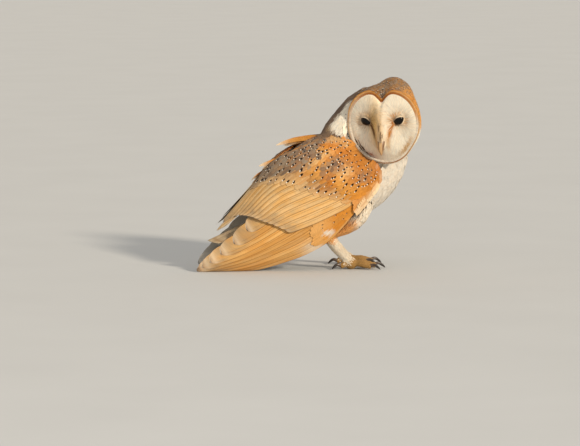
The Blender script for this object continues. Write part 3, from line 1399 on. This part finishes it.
def streaks(share, v, size_along, size_across, seed):
    """Noise drawn out along each flight feather, as (feather, ring, across)."""
    places = share[:, None] * size_along, FLIGHT_ACROSS * size_across, v[:, None, None] * 97
    return noise(np.stack(np.broadcast_arrays(*places), -1), 1, seed)


def flight_paint(base, pale, line, grey, fringe):
    """The colouring of flight feathers: thin dark lower edges and shafts, streaks and pale-edged tips."""

    def paint(share, v, s, phi):
        t = share[:, None] * np.ones(len(FLIGHT_ACROSS))
        long_streaks = streaks(share, v, 7, 2.5, 21)
        short_streaks = streaks(share, v, 26, 3.0, 22)
        near_tip = smooth(t + 0.06 * (short_streaks - 0.5), 0.78, 0.95)
        white = band(s, 102, 112, 114, 146) * band(-phi, 20, 26, 36, 39)
        colours = layered(
            base,
            (pale, 0.8 * smooth(long_streaks, 0.3, 0.75)),
            (GREY_BEIGE, grey * smooth(short_streaks, 0.45, 0.85)),
            (MOTTLE, near_tip * (0.25 + 0.75 * short_streaks)),
            (line, 0.55 * (np.abs(FLIGHT_ACROSS - SHAFT) < 0.03) * (1 - 0.5 * t)),
            (line, 0.95 * (FLIGHT_ACROSS < -0.98) * (1 - smooth(t, 0.93, 0.97))),
            (CREAM, fringe * smooth(t, 0.94, 0.965)),
            (line, 0.5 * smooth(t, 0.98, 0.99)),
            (mix(CREAM, WHITE, 0.5), 0.7 * white[..., None]),
        )
        return np.clip(colours * (1 + jitter(0.08, len(v), 1, 1, 1)), 0, 1)

    return paint


def secondary_top(s):
    """How far up the innermost secondaries lie, whose ends hang lower than their roots."""
    return WING_TOP(s) - 12 * smooth(s, 140, 210)


def flight_feathers(side):
    coat = Plumage()
    primaries = flight_paint(srgb(214, 158, 86), srgb(228, 182, 114), srgb(150, 90, 34), 0.3, 0.45)
    flight_row(
        coat, side, 10, LEADING_EDGE, lambda s: 30, PRIMARY_END, lambda v: 30 + 0 * v,
        lambda v: 20 + 2 * v, -4.6, 1.7, primaries,
    )
    secondaries = flight_paint(srgb(220, 172, 106), srgb(228, 190, 136), srgb(128, 86, 44), 0.7, 0.15)
    flight_row(
        coat, side, 14, SECONDARY_LOW, secondary_top, SECONDARY_END, lambda v: 30 + 20 * v,
        lambda v: 21 - 2 * v - 6 * smooth(v, 0.7, 1), -0.6, 1.0, secondaries,
    )
    return coat


def loose_tertials(coat, side):
    """Narrow pointed feathers at the wing's inner end, hanging apart below the secondaries."""
    v = np.linspace(0, 1, 6)[:, None]
    length = 70 - 6 * v
    reach = FLIGHT_RINGS * length
    s = 212 + 8 * np.sin(5 * v) - length + reach
    phi = 64 + 8 * v - (5 - 6 * v) * FLIGHT_RINGS**2
    h = -4 + 1.5 * v + 1.5 * FLIGHT_RINGS**2
    half = 3.4 * LONG_END(FLIGHT_RINGS) * np.ones_like(v)
    points = wing_vanes(side, s, phi, h, half, FLIGHT_ACROSS, 0.4, 0.03)
    tints = flight_paint(PALE_GOLD, CREAM, srgb(120, 78, 36), 0.4, 0.6)(FLIGHT_RINGS, v[:, 0], s, phi)
    coat.add(points, tints, reach, half, flight_maps(side, s[:, 2], phi[:, 2]))


def tail_feathers():
    coat = Plumage()
    count = 8
    order = np.linspace(-1, 1, count)[:, None]
    rings, across = FLIGHT_RINGS, np.array([-1, -0.6, -0.08, 0.08, 0.6, 1.0])
    way = unit(TAIL_TIP - TAIL_BASE)
    up = unit(np.cross(way, [0, -1.0, 0]))
    reach = rings * np.linalg.norm(TAIL_TIP - TAIL_BASE) * (1 - 0.05 * order**2)
    round_tip = np.sqrt(np.clip(1 - ((rings - 0.92) / 0.08).clip(0) ** 2, 0.02, 1))
    half = 8.0 * (0.7 + 0.3 * smooth(rings, 0, 0.3)) * round_tip * np.ones((count, 1))
    centre_y = order * (TAIL_HALF_WIDTH - 7.5) * (0.8 + 0.2 * rings)
    y = centre_y[..., None] + half[..., None] * across
    roof = -5 * (y / TAIL_HALF_WIDTH) ** 2
    stack = (1.8 - 2.6 * np.abs(order))[..., None] + 0.25 * (1 - np.abs(across))
    points = TAIL_BASE + way * reach[..., None, None] + up * (roof + stack)[..., None]
    points = points + np.array([0, 1.0, 0]) * y[..., None]
    mottle = noise(points, 4, 8)
    t = rings[:, None] + 0.01 * (mottle - 0.5)
    colours = layered(
        BUFF,
        (TAIL_GREY, 0.35 + 0.5 * mottle),
        (CREAM, 0.3 * np.abs(across)),
        (BARK, 0.6 * sum(bell(t, bar, 0.022) for bar in (0.45, 0.62, 0.78, 0.92))),
    )
    roots = np.stack([0.3 + 0.12 * np.arange(count) / count, np.full(count, 0.3)], -1)
    coat.add(points, colours, reach, half, roots)
    return coat


# ---------------- the face


def face_lines(y0, z0, way, lengths, lift_tip, depth):
    """Centre lines of fine feathers on the disc, straight as seen from in front."""
    reach = lengths[:, None] * RINGS
    y, z = y0[:, None] + way[:, :1] * reach, z0[:, None] + way[:, 1:] * reach
    x = face_top(y, z) - depth * (1 - RINGS) ** 2.2 + lift_tip * RINGS**2
    return np.stack([x, y, z], -1), reach


def from_eye(side, y, z):
    """How far places on the disc are from an eye's centre: outwards along its slant, and up across it."""
    _, outer, up = eye_axes(side)
    dy, dz = y - side * EYE_SPREAD, z - EYE_HEIGHT
    return dy * outer[1] + dz * outer[2], dy * up[1] + dz * up[2]


def face_top(y, z):
    """How far forward the face's feathers stand: the disc, and a soft mound round each eye's lids."""
    height = face_height(y, z)
    for side in SIDES.values():
        reach = EYE_RADIUS + 1.0 + 1.4 * smooth(from_eye(side, y, z)[1], -1, 7)
        away = np.hypot(y - side * EYE_SPREAD, z - EYE_HEIGHT)
        slope = np.sqrt(np.clip(reach**2 - away**2, 0, None)) - 2 * np.maximum(away - reach, 0)
        mound = EYE_FORWARD - 0.4 + slope
        height = (height + mound + np.hypot(height - mound, 1.2)) / 2
    return height


def clear_of_eyes(y, z):
    """Whether points of the disc are outside the eyes' openings and their bare rims."""
    clear = np.ones(np.shape(y), bool)
    for side in SIDES.values():
        out, up = from_eye(side, y, z)
        long = np.where(out > 0, EYE_OUT[side], EYE_IN[side]) + 0.4
        high = np.where(up > 0, EYE_ABOVE, EYE_BELOW) + 0.7
        clear &= np.hypot(out / long, up / high) > 1
    return clear


def facial_feathers():
    """Fine feathers that radiate from each eye to the rim, and run down beside the ridge to the bill."""
    coat = Plumage()
    tries = 60000
    angle = rng.random(tries) * 2 * np.pi
    radius = np.sqrt(rng.random(tries)) * 0.97 * disc_radius(angle)
    spots = np.stack([np.zeros(tries), radius * np.sin(angle), radius * np.cos(angle)], -1)
    spots = spots[clear_of_eyes(spots[:, 1], spots[:, 2])]
    _, y, z = spots[spaced(spots, np.full(len(spots), 1.2))].T
    count, side = len(y), np.where(y < 0, RIGHT, LEFT)
    out = np.stack([y - side * (EYE_SPREAD - 2), z - EYE_HEIGHT + 2], -1)
    down = np.stack([-side * 0.18, -np.ones_like(y)], -1)
    on_ridge = bell(y, 0, 9) * (1 - smooth(z, 18, 34))
    way = unit(mix(unit(out), down, np.minimum(on_ridge * 1.3, 1)) + jitter(0.12, count, 2))
    lengths = (7.5 + 2.5 * smooth(np.linalg.norm(out, axis=1), 6, 26)) * (1 + jitter(0.3, count))
    room = disc_radius(np.arctan2(y, z)) * 0.985 - np.hypot(y, z)
    lengths = np.clip(np.minimum(lengths, room + 3.0), 3.0, None)
    for _ in range(4):
        over = on_disc(y + way[:, 0] * lengths, z + way[:, 1] * lengths)[1] > 1
        lengths = np.where(over, 0.75 * lengths, lengths)
    lines, reach = face_lines(y, z, way, lengths, 0.1, SKIN_DEPTH["facial_disc"])
    half = 0.75 + 0.2 * rng.random(count)
    tints = feather_tints(face_colour(lines[:, 3]), 0.1, 0.03)
    face_vanes(coat, lines, half, 0.14, face_speckles(tints, lines[:, 4]), reach)
    rim_streaks(coat)
    rim_feathers(coat)
    bristles(coat)
    return coat


def face_speckles(tints, places):
    """The tints with some feathers dark: by the lower right rim, and on the ridge above the bill."""
    y, z = places[:, 1], places[:, 2]
    angle, q = on_disc(y, z)
    rim = bell(np.degrees(angle), -128, 20) * smooth(q, 0.86, 0.92)
    ridge = bell(y, 0.5, 2.4) * bell(z, -7, 9)
    dark = rng.random(len(y)) < 0.3 * rim + 0.5 * ridge
    tints[dark] = mix(tints[dark], RIM_BROWN, 0.75)
    return tints


def rim_streaks(coat):
    """Thin brown and pink feathers along the inside of the rim, low on the right."""
    count = 34
    angle = np.radians(-104 - 50 * rng.random(count))
    radius = (0.83 + 0.11 * rng.random(count)) * disc_radius(angle)
    way = np.stack([-np.cos(angle - 0.12), np.sin(angle - 0.12)], -1)
    lengths = 5 + 4 * rng.random(count)
    lines, reach = face_lines(radius * np.sin(angle), radius * np.cos(angle), way, lengths, 0.1, 0.4)
    lines[..., 0] += 0.5
    half = 0.35 + 0.25 * rng.random(count)
    pink, white = smooth(-np.degrees(angle), 136, 148), rng.random(count) < 0.25
    colours = layered(RIM_BROWN, (PINK, pink), (WHITE, white))
    face_vanes(coat, lines, half, 0.2, feather_tints(colours, 0.2, 0.0), reach)


def head_vanes(coat, lines, sides, ups, half, arch, rise, tints, reach):
    """Adds vanes along lines of the head's frame."""
    points = from_head(vane_points(lines, sides, ups, half, THREE, arch, rise))
    coat.add(points, tints, reach, half, unwrap_as("facial_disc", points[:, 0, 1]))


def face_vanes(coat, lines, half, arch, tints, reach):
    """Adds tapered vanes along lines of the head's frame, square to the face."""
    y, z = lines[..., 1], lines[..., 2]
    dy = face_top(y + 0.5, z) - face_top(y - 0.5, z)
    dz = face_top(y, z + 0.5) - face_top(y, z - 0.5)
    ups = unit(np.stack([np.ones_like(dy), -dy, -dz], -1))
    sides = unit(np.cross(unit(np.gradient(lines, axis=1)), ups))
    head_vanes(coat, lines, sides, ups, half[:, None] * TAPERED, arch, 0.07, tints, reach)


def bristles(coat):
    """The longer feathers that run down both sides of the ridge and cover the bill's root."""
    count = 170
    side = np.where(rng.random(count) < 0.5, RIGHT, LEFT)
    y = side * (0.4 + 6.6 * rng.random(count))
    z = 9 - 24 * rng.random(count)
    lengths = 9 + 4 * rng.random(count)
    way = np.stack([y * 0.02 - side * 0.05, -np.ones(count)], -1)
    way = unit(way + 0.06 * rng.normal(size=(count, 2)))
    lines, reach = face_lines(y, z, way, lengths, 0.2, 0.5)
    lines[..., 0] += 0.8 + 3.4 * bell(lines[..., 1], 0, 5.0) * smooth(-lines[..., 2], 4, 16)
    half = 0.7 + 0.25 * rng.random(count)
    tints = face_speckles(feather_tints(face_colour(lines[:, 3]), 0.16, 0.05), lines[:, 4])
    face_vanes(coat, lines, half, 0.2, tints, reach)


RIM_ROWS = [
    # where the root is across the rim (q), its length, width, how far it stands out, and how many
    (0.915, 4.6, 2.3, 0.8, 200),
    (0.966, 3.1, 1.7, 1.4, 240),
    (0.99, 4.2, 2.4, 1.5, 200),
]


def rim_feathers(coat):
    """The stiff small feathers of the ruff, in rows round the disc."""
    for row, (q, length, width, stand, count) in enumerate(RIM_ROWS):
        angle = (np.arange(count) + 0.5 * (row % 2)) / count * 2 * np.pi + jitter(0.01, count)
        base = face_point(q, angle, 1.2)
        tip = face_point(min(q + length / DISC_RADIUS, 1.05), angle, -stand)
        lines = base[:, None] + (tip - base)[:, None] * RINGS[:, None]
        over_shoulder = 2.4 * bell(np.degrees(signed(angle)), -130, 36)
        lines[..., 0] += over_shoulder[:, None] + np.sin(np.pi * RINGS) * 0.9
        ways = unit(np.gradient(lines, axis=1))
        sides = unit(np.cross(ways, [1.0, 0, 0]))
        outer = (row + 0.55) / 3 + 0.1 * (RINGS - 0.5)
        tints = rim_colour(angle[:, None], outer)[:, :, None] * (1 + jitter(0.2, count, 1, 1, 1))
        steps = np.linalg.norm(np.diff(lines, axis=1, prepend=lines[:, :1]), axis=-1)
        half = width / 2 * OUTLINE * np.ones((count, 1))
        head_vanes(coat, lines, sides, unit(np.cross(sides, ways)), half, 0.18, 0.1, tints, steps.cumsum(1))


# ---------------- eyes, lids and bill

EYE_OUT, EYE_IN = {RIGHT: 6.0, LEFT: 6.7}, {RIGHT: 7.3, LEFT: 8.2}  # how far the opening's corners reach
EYE_ABOVE, EYE_BELOW = 3.6, 4.9
EYE_SLANT, LID_OUT = 27, 10  # degrees that the outer corners are raised, and the openings face outwards


def eye_axes(side):
    """The eye opening's own axes in the head's frame: out of the head, towards the outer corner, up."""
    turn, slant = math.radians(LID_OUT) * side, math.radians(EYE_SLANT)
    gaze = np.array([math.cos(turn), math.sin(turn), 0])
    level, rise = np.array([-math.sin(turn), math.cos(turn), 0]) * side, np.array([0, 0, 1.0])
    outer = level * math.cos(slant) + rise * math.sin(slant)
    return gaze, outer, rise * math.cos(slant) - level * math.sin(slant)


def opening(side, angle):
    """The almond opening's half size at an angle from its long axis, which points outwards."""
    power = 1.6
    high = np.where(np.sin(angle) > 0, EYE_ABOVE, EYE_BELOW)
    long = np.where(np.cos(angle) > 0, EYE_OUT[side], EYE_IN[side])
    c, s = np.abs(np.cos(angle)) / long, np.abs(np.sin(angle)) / high
    return (c**power + s**power) ** (-1 / power)


LID_PROFILE = [
    # share of the way from the lid's edge, how far it stands off the eyeball in mm, and how pale it is
    (0.0, -0.5, 0), (0.0, 0.25, 0), (0.04, 0.65, 0.4), (0.09, 0.75, 1), (0.18, 0.5, 1),
    (0.4, 0.2, 0.8), (0.8, -0.2, 0.6), (1.0, -0.8, 0.5),
]


def lid_mesh(side):
    """The two lids as one ring round the opening, thick at its rim and running under the feathers."""
    gaze, outer, up = eye_axes(side)
    angles = turn_in(64)
    start = np.arcsin(opening(side, angles) / EYE_RADIUS)
    round_gaze = outer * np.cos(angles)[:, None] + up * np.sin(angles)[:, None]
    rings, shade = [], []
    for share, stand, pale in LID_PROFILE:
        polar = (start + (math.radians(82) - start) * share)[:, None]
        ring = gaze * np.cos(polar) + round_gaze * np.sin(polar)
        rings.append(np.array([EYE_FORWARD, side * EYE_SPREAD, EYE_HEIGHT]) + ring * (EYE_RADIUS + stand))
        shade.append(pale * (0.35 + 0.65 * smooth(np.cos(angles), -0.7, 0.5)))
    faces = ring_faces(len(rings), 64)[0]
    colours = mix(srgb(70, 38, 20), srgb(240, 220, 188), np.concatenate(shade))
    return from_head(np.concatenate(rings)), faces[:, ::-side], colours


def ball(name, node, centre, radius, material, slot):
    mesh = bpy.data.meshes.new(name)
    bm = bmesh.new()
    bmesh.ops.create_uvsphere(bm, u_segments=48, v_segments=32, radius=radius * 0.001)
    bm.to_mesh(mesh)
    bm.free()
    mesh.transform(Matrix.Translation(Vector(to_row(centre))))
    mesh.polygons.foreach_set("use_smooth", np.ones(len(mesh.polygons), dtype=bool))
    dress(linked(name, mesh), material, slot, node)


def horn(path, thick, deep, steps, around, side_axis):
    """A tapering closed tube along a smooth path, and each point's share of the way. thick gives its
    half width along it."""
    keys = np.linspace(0, 1, len(path))
    u = np.linspace(0, 1, steps)
    centre = np.stack([through(*zip(keys, track))(u) for track in np.array(path, float).T], -1)
    along = unit(np.gradient(centre, axis=0))
    across = unit(np.cross(along, np.array(side_axis, float)))
    up = unit(np.cross(across, along))
    angles = turn_in(around)[:, None]
    turned = across[:, None] * np.cos(angles) + up[:, None] * np.sin(angles) * deep
    rings = centre[:, None] + thick(u)[:, None, None] * turned
    return *grid_mesh(rings, centre[0], centre[-1]), np.append(np.repeat(u, around), [0, 1])


def shell_object(name, parts, material, slot, *nodes):
    """One object from closed shells given as (points in the bird's own frame, faces, colours)."""
    points, faces = joined((p, f) for p, f, _ in parts)
    corners = np.concatenate([f.ravel() for f in faces])
    sizes = np.concatenate([np.full(len(f), f.shape[1]) for f in faces])
    obj = mesh_from(name, to_row(points), corners, sizes)
    tint(obj.data, np.concatenate([colours for _, _, colours in parts]))
    dress(obj, material, slot, *nodes)


def bill():
    upper_thick = through((0, 4.6), (0.3, 4.4), (0.55, 3.5), (0.8, 2.3), (1, 0.5))
    lower_thick = through((0, 2.6), (0.6, 2.0), (1, 0.5))
    parts = []
    for path, thick in (
        ([(30, 0, -9), (38.5, 0, -15), (43, 0, -24), (43, 0, -32)], upper_thick),
        ([(26, 0, -23), (33, 0, -25), (36, 0, -27)], lower_thick),
    ):
        points, faces, share = horn(path, thick, 1.15, 22, 20, (0, 1, 0))
        edge = 0.9 * smooth(np.abs(points[:, 1]), 1.2, 3.2)
        tip = 0.6 * smooth(share, 0.7, 1)
        colours = layered(srgb(206, 166, 116), (srgb(104, 70, 42), edge), (srgb(190, 146, 100), tip))
        parts.append((from_head(points), faces, colours))
    shell_object("bill", parts, BILL, "bill", "bill_upper", "bill_lower")


def claws():
    parts = []
    thick = through((0, 2.3), (0.5, 1.7), (0.85, 0.8), (1, 0.3))
    for side in SIDES.values():
        for angle, length, radius, claw in TOES.values():
            turn = math.radians(angle * side)
            along = np.array([math.cos(turn), math.sin(turn), 0])
            root = np.array([FOOT_X[side], side * FOOT_OUT, 0]) + along * length * 0.9
            height = radius * 0.98
            at = [(0, height + 0.4), (0.45, height + radius * 0.55), (0.85, height * 0.72), (1, 0.75)]
            path = [root + along * share * claw * 1.02 + np.array([0, 0, z]) for share, z in at]
            points, faces, share = horn(path, thick, 1.1, 16, 12, (-math.sin(turn), math.cos(turn), 0))
            parts.append((points, faces, mix(srgb(96, 76, 62), srgb(34, 26, 22), smooth(share, 0, 0.6))))
    nodes = [f"claw_{name}_{toe}" for name in SIDES for toe in TOES]
    shell_object("claws", parts, CLAW, "claw", *nodes)


# ---------------- stage


def stage():
    bpy.ops.mesh.primitive_plane_add(size=60, location=(0, 0, 0))
    floor = bpy.context.object
    floor.name = "floor"
    m = Nodes("Stage_Floor")
    shade = m.remap(m.noise(6, 3.0), 0.3, 0.7, 0.985, 1.015)
    colour = m.tinted(shade, (0.58, 0.6, 0.62))
    floor.data.materials.append(m.finish(Base_Color=colour, Roughness=0.9))
    world = bpy.data.worlds.new("Studio")
    bpy.context.scene.world = world
    world.use_nodes = True
    background = world.node_tree.nodes["Background"].inputs
    background["Color"].default_value = (1.0, 0.95, 0.87, 1)
    background["Strength"].default_value = 0.6


def aimed(name, data, azimuth, elevation, aim, distance, **settings):
    for key, value in settings.items():
        setattr(data, key, value)
    a, e = math.radians(azimuth), math.radians(elevation)
    back = Vector((math.sin(a) * math.cos(e), -math.cos(a) * math.cos(e), math.sin(e)))
    obj = linked(name, data)
    obj.location = Vector(aim) + back * distance
    obj.rotation_mode = "QUATERNION"
    obj.rotation_quaternion = (-back).to_track_quat("-Z", "Y")
    return obj


# ---------------- the bird

camera = aimed(
    "camera", bpy.data.cameras.new("camera"), CAMERA_AZIMUTH, CAMERA_ELEVATION, to_row(CAMERA_AIM),
    CAMERA_DISTANCE, lens=CAMERA_LENS, sensor_width=36, clip_end=100,
)
bpy.context.scene.camera = camera
stage()
aimed(
    "key", bpy.data.lights.new("key", "SUN"), 30, 24, (0, 0, 0), 0,
    energy=2.9, angle=math.radians(7), color=(1.0, 0.86, 0.67),
)
aimed(
    "catch", bpy.data.lights.new("catch", "AREA"), -20, 24, (0, 0, 0.12), 2.0,
    shape="DISK", size=0.16, energy=1.2, color=(1.0, 0.97, 0.92),
)
bpy.context.scene.view_settings.view_transform = "Standard"


def spread_out(depth, faces, fixed, rounds):
    """The depth of each point made even with its neighbours', but for the fixed ones."""
    for _ in range(rounds):
        total, seen = np.zeros(len(depth)), np.zeros(len(depth))
        np.add.at(total, faces, depth[faces].mean(1)[:, None])
        np.add.at(seen, faces, 1)
        depth = np.where(fixed, depth, total / np.maximum(seen, 1))
    return depth


def build_skin():
    obj = merged(FLESH, 0.0014, 3)
    form = form_of(obj)
    points, region, mesh = form["points"], form["region"], obj.data
    foot = is_region(region, "foot")
    depth = np.full(len(points), BODY_DEPTH)
    for node, inside in SKIN_DEPTH.items():
        depth[is_region(region, node)] = inside
    depth = spread_out(depth, form["faces"], foot, 6)
    colours, grey = marking(points, region)
    colours = mix(colours, GREY, 0.8 * grey)
    colours[foot] = TOE_SKIN
    skin = under_coverts(points - form["normals"] * depth[:, None], region, BODY_DEPTH)
    mesh.vertices.foreach_set("co", to_row(skin).astype(np.float32).ravel())
    tint(mesh, colours * 0.92)
    attribute(mesh, "scaly", "FLOAT", "POINT", foot)
    bake_map(mesh, unwrap(points, region)[form["faces"]])
    mesh.update()
    obj.name = "skin"
    dress(obj, SKIN, "plumage_white", "head", "facial_disc", *FLESH)


build_skin()
whole = merged(FLESH + PLATES, 0.0016, 2)
outer_form = form_of(whole)
bpy.data.objects.remove(whole)

coats = contour_feathers(outer_form)
lifted_feathers(coats["back"], outer_form)
for side_name, side in SIDES.items():
    coat = coats[f"wing_{side_name}"] = Plumage()
    covert_rows(coat, side)
    primary_coverts(coat, side)
    flank_feathers(coat, side)
    side_feathers(coats["breast"], outer_form, side)
for name, coat in coats.items():
    material = DOWN if name in ("neck", "breast", "legs") else FEATHER
    coat.build(f"coat_{name}", material, "plumage_white" if name in ("neck", "breast") else "plumage_gold")

facial_feathers().build("coat_face", DOWN, "plumage_face")
for side_name, side in SIDES.items():
    coat = flight_feathers(side)
    loose_tertials(coat, side)
    nodes = [f"wing_{side_name}_{row}" for row in ("secondaries", "primaries")]
    coat.build(f"flight_{side_name}", FLIGHT, "flight_feathers", *nodes)
tail_feathers().build("tail_feathers", FLIGHT, "flight_feathers", "tail")

for side_name, side in SIDES.items():
    ball(f"eyeball_{side_name}", f"eye_{side_name}", own_eye(side), EYE_RADIUS, EYE, "eye")
shell_object("lids", [lid_mesh(RIGHT), lid_mesh(LEFT)], SKIN, "plumage_face")
bill()
claws()
